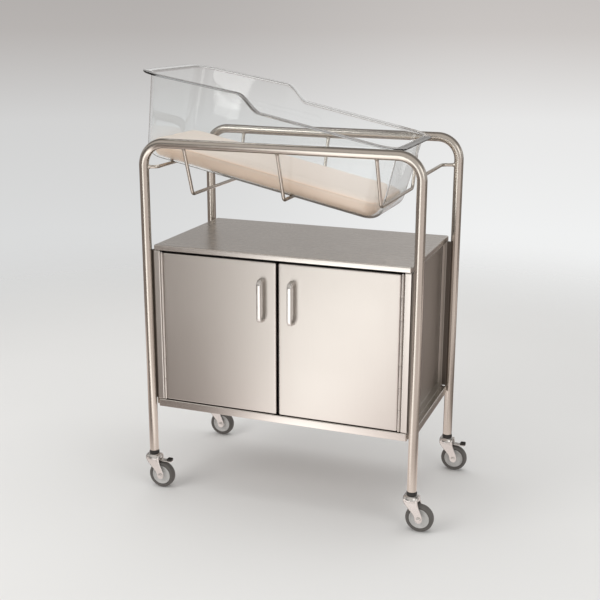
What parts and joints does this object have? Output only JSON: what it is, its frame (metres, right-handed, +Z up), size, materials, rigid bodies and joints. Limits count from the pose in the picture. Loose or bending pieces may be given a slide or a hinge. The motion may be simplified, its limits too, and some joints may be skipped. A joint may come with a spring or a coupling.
{
  "type": "hospital bassinet",
  "caption": "Hospital bassinet: clear tub with a pad, tilted in a wire cradle between bent-tube frames on braked swivel casters, over a steel cabinet with doors.",
  "frame": {"origin": "on the floor, under the middle of the object's bounding box", "axes": "+Z up, -X towards the head of the tub, -Y towards the doors"},
  "size_m": [0.8428, 0.4508, 1.1525],
  "materials": {
    "tube_steel": "polished stainless tube and wire",
    "satin_steel": "satin stainless sheet",
    "bright_steel": "bright plated steel",
    "black_plastic": "moulded black",
    "hub_plastic": "moulded light grey",
    "tyre_rubber": "grey rubber",
    "clear_acrylic": "clear, thermoformed",
    "pad_cover": "wipe-clean peach cover"
  },
  "bodies": {
    "frame": {"front_frame_tube": "tube_steel", "rear_frame_tube": "tube_steel", "head_cradle_hanger": "tube_steel", "middle_cradle_hanger": "tube_steel", "foot_cradle_hanger": "tube_steel", "head_end_wire": "tube_steel", "foot_end_wire": "tube_steel", "cabinet_top": "satin_steel", "cabinet_floor": "satin_steel", "left_side_panel": "satin_steel", "right_side_panel": "satin_steel", "cabinet_back": "satin_steel", "cabinet_shelf": "satin_steel", "left_shelf_rail": "satin_steel", "right_shelf_rail": "satin_steel", "left_door_catch": "black_plastic", "left_hinge_fixed_leaf": "satin_steel", "left_hinge_pin": "bright_steel", "right_door_catch": "black_plastic", "right_hinge_fixed_leaf": "satin_steel", "right_hinge_pin": "bright_steel", "front_left_caster_stem": "black_plastic", "front_right_caster_stem": "black_plastic", "rear_left_caster_stem": "black_plastic", "rear_right_caster_stem": "black_plastic"},
    "left_door": {"left_door_skin": "satin_steel", "left_door_liner": "satin_steel", "left_door_handle": "bright_steel", "left_door_strike": "bright_steel", "left_hinge_door_leaf": "satin_steel"},
    "right_door": {"right_door_skin": "satin_steel", "right_door_liner": "satin_steel", "right_door_handle": "bright_steel", "right_door_strike": "bright_steel", "right_hinge_door_leaf": "satin_steel"},
    "tub": {"tub": "clear_acrylic"},
    "pad": {"mattress_pad": "pad_cover"},
    "front_left_swivel": {"front_left_caster_fork": "bright_steel", "front_left_caster_axle": "bright_steel"},
    "front_left_wheel": {"front_left_wheel_hub": "hub_plastic", "front_left_wheel_tyre": "tyre_rubber"},
    "front_right_swivel": {"front_right_caster_fork": "bright_steel", "front_right_caster_axle": "bright_steel"},
    "front_right_wheel": {"front_right_wheel_hub": "hub_plastic", "front_right_wheel_tyre": "tyre_rubber"},
    "rear_left_swivel": {"rear_left_caster_fork": "bright_steel", "rear_left_caster_axle": "bright_steel"},
    "rear_left_wheel": {"rear_left_wheel_hub": "hub_plastic", "rear_left_wheel_tyre": "tyre_rubber"},
    "rear_right_swivel": {"rear_right_caster_fork": "bright_steel", "rear_right_caster_axle": "bright_steel"},
    "rear_right_wheel": {"rear_right_wheel_hub": "hub_plastic", "rear_right_wheel_tyre": "tyre_rubber"},
    "front_left_brake": {"front_left_brake_lever": "bright_steel", "front_left_brake_pad": "black_plastic"},
    "rear_right_brake": {"rear_right_brake_lever": "bright_steel", "rear_right_brake_pad": "black_plastic"}
  },
  "joints": [
    {"name": "left_door_hinge", "type": "hinge", "parent": "frame", "child": "left_door", "pos_m": [-0.34293, -0.1971, 0.47468], "axis": [0, 0, 1], "range_deg": [-110, 0]},
    {"name": "right_door_hinge", "type": "hinge", "parent": "frame", "child": "right_door", "pos_m": [0.32047, -0.1971, 0.47468], "axis": [0, 0, 1], "range_deg": [0, 110]},
    {"name": "tub_lift", "type": "slide", "parent": "frame", "child": "tub", "axis": [0, 0, 1], "range_m": [0, 0.3]},
    {"name": "pad_lift", "type": "slide", "parent": "tub", "child": "pad", "axis": [0.2099, 0, 0.9777], "range_m": [0, 0.25]},
    {"name": "front_left_swivel", "type": "hinge", "parent": "frame", "child": "front_left_swivel", "pos_m": [-0.38373, -0.2006, 0.09868], "axis": [0, 0, 1], "continuous": true},
    {"name": "front_left_wheel_spin", "type": "hinge", "parent": "front_left_swivel", "child": "front_left_wheel", "pos_m": [-0.36073, -0.2006, 0.03718], "axis": [0, 1, 0], "continuous": true},
    {"name": "front_right_swivel", "type": "hinge", "parent": "frame", "child": "front_right_swivel", "pos_m": [0.36127, -0.2006, 0.09868], "axis": [0, 0, 1], "continuous": true},
    {"name": "front_right_wheel_spin", "type": "hinge", "parent": "front_right_swivel", "child": "front_right_wheel", "pos_m": [0.38427, -0.2006, 0.03718], "axis": [0, 1, 0], "continuous": true},
    {"name": "rear_left_swivel", "type": "hinge", "parent": "frame", "child": "rear_left_swivel", "pos_m": [-0.38373, 0.2044, 0.09868], "axis": [0, 0, 1], "continuous": true},
    {"name": "rear_left_wheel_spin", "type": "hinge", "parent": "rear_left_swivel", "child": "rear_left_wheel", "pos_m": [-0.36073, 0.2044, 0.03718], "axis": [0, 1, 0], "continuous": true},
    {"name": "rear_right_swivel", "type": "hinge", "parent": "frame", "child": "rear_right_swivel", "pos_m": [0.36127, 0.2044, 0.09868], "axis": [0, 0, 1], "continuous": true},
    {"name": "rear_right_wheel_spin", "type": "hinge", "parent": "rear_right_swivel", "child": "rear_right_wheel", "pos_m": [0.38427, 0.2044, 0.03718], "axis": [0, 1, 0], "continuous": true},
    {"name": "front_left_brake_press", "type": "hinge", "parent": "front_left_swivel", "child": "front_left_brake", "pos_m": [-0.37173, -0.2006, 0.07868], "axis": [0, 1, 0], "range_deg": [0, 13]},
    {"name": "rear_right_brake_press", "type": "hinge", "parent": "rear_right_swivel", "child": "rear_right_brake", "pos_m": [0.37327, 0.2044, 0.07868], "axis": [0, 1, 0], "range_deg": [0, 13]}
  ]
}
